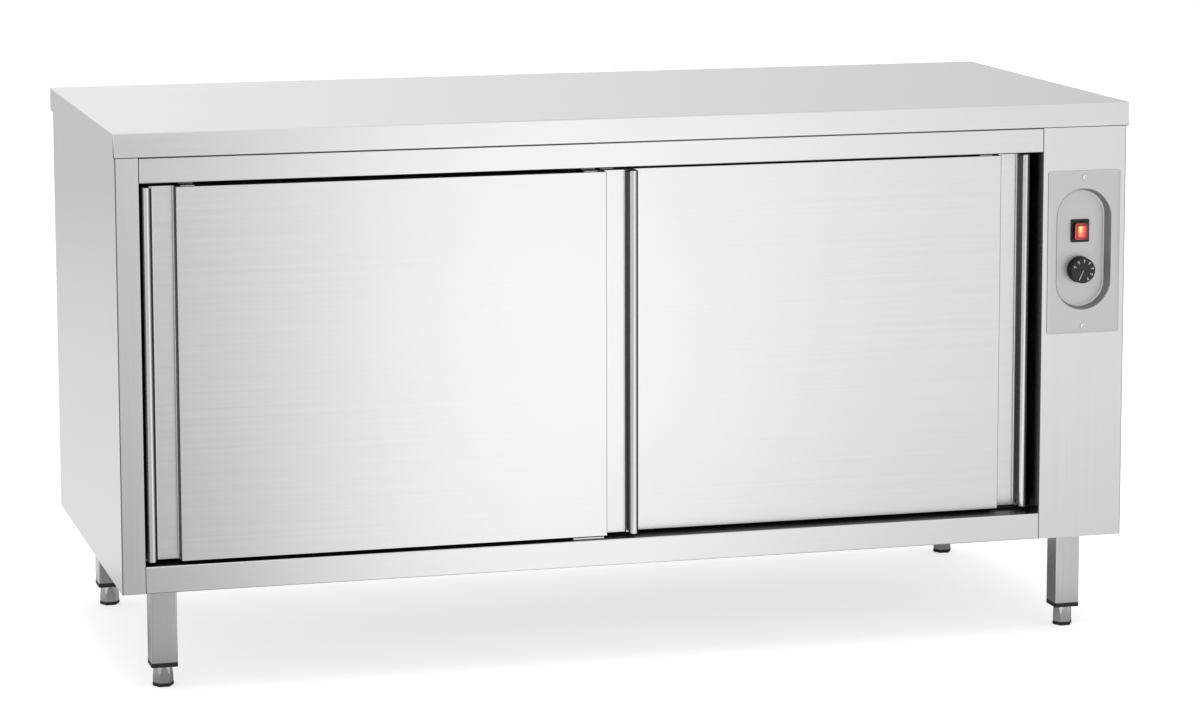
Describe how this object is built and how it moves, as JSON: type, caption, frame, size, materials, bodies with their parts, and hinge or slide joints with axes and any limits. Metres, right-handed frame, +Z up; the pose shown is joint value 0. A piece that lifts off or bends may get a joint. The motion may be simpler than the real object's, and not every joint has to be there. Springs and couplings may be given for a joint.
{
  "type": "plate warmer cabinet",
  "caption": "Long stainless steel plate warming cabinet on legs, with two overlapping sliding doors, a flat worktop and a control column with rocker switch and thermostat knob at the right.",
  "frame": {"origin": "centre of the footprint, on the floor under the feet", "axes": "+X to the right along the worktop, towards the control column; +Y from the doors to the back; +Z up"},
  "size_m": [1.6, 0.7, 0.85],
  "materials": {
    "worktop_steel": "brushed, satin",
    "body_steel": "brushed, satin",
    "door_steel": "brushed, satin",
    "plate_steel": "fine satin",
    "bright_steel": "bright, machined or galvanised",
    "galvanised": "galvanised sheet",
    "element_steel": "heat-tinted tube",
    "component_metal": "plated or lacquered",
    "copper": "drawn copper",
    "black_plastic": "moulded, slightly rough",
    "control_black": "moulded, satin",
    "roller_nylon": "turned nylon",
    "terminal_plastic": "moulded",
    "rocker_red": "translucent red, lit",
    "rubber": "moulded",
    "board": "raw board",
    "insulation": "mineral wool slab"
  },
  "bodies": {
    "cabinet": {"worktop": "worktop_steel", "worktop_core": "board", "left_side_panel": "body_steel", "right_side_panel": "body_steel", "back_panel": "body_steel", "base_tray": "body_steel", "bottom_front_rail": "body_steel", "top_front_rail": "body_steel", "inner_floor": "body_steel", "left_liner": "body_steel", "back_liner": "body_steel", "ceiling_liner": "body_steel", "partition_wall": "body_steel", "front_track": "bright_steel", "rear_track": "bright_steel", "track_stops": "rubber", "door_guide": "bright_steel", "shelf": "body_steel", "shelf_rests": "bright_steel", "control_plate": "plate_steel", "panel_screws": "bright_steel", "switch_housing": "control_black", "thermostat_body": "component_metal", "thermostat_bulb": "copper", "fan_motor": "component_metal", "air_duct": "galvanised", "heating_element": "element_steel", "terminal_block": "terminal_plastic", "cable_gland": "black_plastic", "leg_front_left": "body_steel", "leg_front_right": "body_steel", "leg_back_left": "body_steel", "leg_back_right": "body_steel", "leg_caps": "black_plastic"},
    "left_door": {"left_door_front": "door_steel", "left_door_back": "door_steel", "left_door_core": "insulation", "left_door_hangers": "bright_steel", "left_door_pins": "bright_steel"},
    "right_door": {"right_door_front": "door_steel", "right_door_back": "door_steel", "right_door_core": "insulation", "right_door_hangers": "bright_steel", "right_door_pins": "bright_steel"},
    "left_door_roller_left": {"left_door_roller_left": "roller_nylon"},
    "left_door_roller_right": {"left_door_roller_right": "roller_nylon"},
    "right_door_roller_left": {"right_door_roller_left": "roller_nylon"},
    "right_door_roller_right": {"right_door_roller_right": "roller_nylon"},
    "rocker": {"rocker": "rocker_red"},
    "knob": {"knob": "control_black", "thermostat_shaft": "bright_steel"},
    "fan_rotor": {"fan_rotor": "galvanised"},
    "foot_front_left": {"foot_front_left": "bright_steel", "pad_front_left": "black_plastic"},
    "foot_front_right": {"foot_front_right": "bright_steel", "pad_front_right": "black_plastic"},
    "foot_back_left": {"foot_back_left": "bright_steel", "pad_back_left": "black_plastic"},
    "foot_back_right": {"foot_back_right": "bright_steel", "pad_back_right": "black_plastic"}
  },
  "joints": [
    {"name": "left_door_slide", "type": "slide", "parent": "cabinet", "child": "left_door", "axis": [1, 0, 0], "range_m": [0, 0.648]},
    {"name": "right_door_slide", "type": "slide", "parent": "cabinet", "child": "right_door", "axis": [1, 0, 0], "range_m": [-0.648, 0]},
    {"name": "left_door_roller_left_spin", "type": "hinge", "parent": "left_door", "child": "left_door_roller_left", "pos_m": [-0.689, -0.3265, 0.795], "axis": [0, 1, 0], "range_deg": [0, 3713]},
    {"name": "left_door_roller_right_spin", "type": "hinge", "parent": "left_door", "child": "left_door_roller_right", "pos_m": [-0.07225, -0.3265, 0.795], "axis": [0, 1, 0], "range_deg": [0, 3713]},
    {"name": "right_door_roller_left_spin", "type": "hinge", "parent": "right_door", "child": "right_door_roller_left", "pos_m": [-0.03975, -0.2985, 0.795], "axis": [0, 1, 0], "range_deg": [-3713, 0]},
    {"name": "right_door_roller_right_spin", "type": "hinge", "parent": "right_door", "child": "right_door_roller_right", "pos_m": [0.577, -0.2985, 0.795], "axis": [0, 1, 0], "range_deg": [-3713, 0]},
    {"name": "rocker_press", "type": "hinge", "parent": "cabinet", "child": "rocker", "pos_m": [0.72775, -0.3371, 0.646], "axis": [1, 0, 0], "range_deg": [-10, 0]},
    {"name": "knob_turn", "type": "hinge", "parent": "cabinet", "child": "knob", "pos_m": [0.72775, -0.33, 0.5845], "axis": [0, 1, 0], "range_deg": [0, 270]},
    {"name": "fan_spin", "type": "hinge", "parent": "cabinet", "child": "fan_rotor", "pos_m": [0.7, 0.04, 0.44], "axis": [1, 0, 0], "continuous": true},
    {"name": "foot_front_left_height", "type": "slide", "parent": "cabinet", "child": "foot_front_left", "axis": [0, 0, 1], "range_m": [-0.02, 0]},
    {"name": "foot_front_right_height", "type": "slide", "parent": "cabinet", "child": "foot_front_right", "axis": [0, 0, 1], "range_m": [-0.02, 0]},
    {"name": "foot_back_left_height", "type": "slide", "parent": "cabinet", "child": "foot_back_left", "axis": [0, 0, 1], "range_m": [-0.02, 0]},
    {"name": "foot_back_right_height", "type": "slide", "parent": "cabinet", "child": "foot_back_right", "axis": [0, 0, 1], "range_m": [-0.02, 0]}
  ],
  "couplings": [
    {"joint": "left_door_roller_left_spin", "follows": "left_door_slide", "rad_per_m": 100},
    {"joint": "left_door_roller_right_spin", "follows": "left_door_slide", "rad_per_m": 100},
    {"joint": "right_door_roller_left_spin", "follows": "right_door_slide", "rad_per_m": 100},
    {"joint": "right_door_roller_right_spin", "follows": "right_door_slide", "rad_per_m": 100}
  ]
}
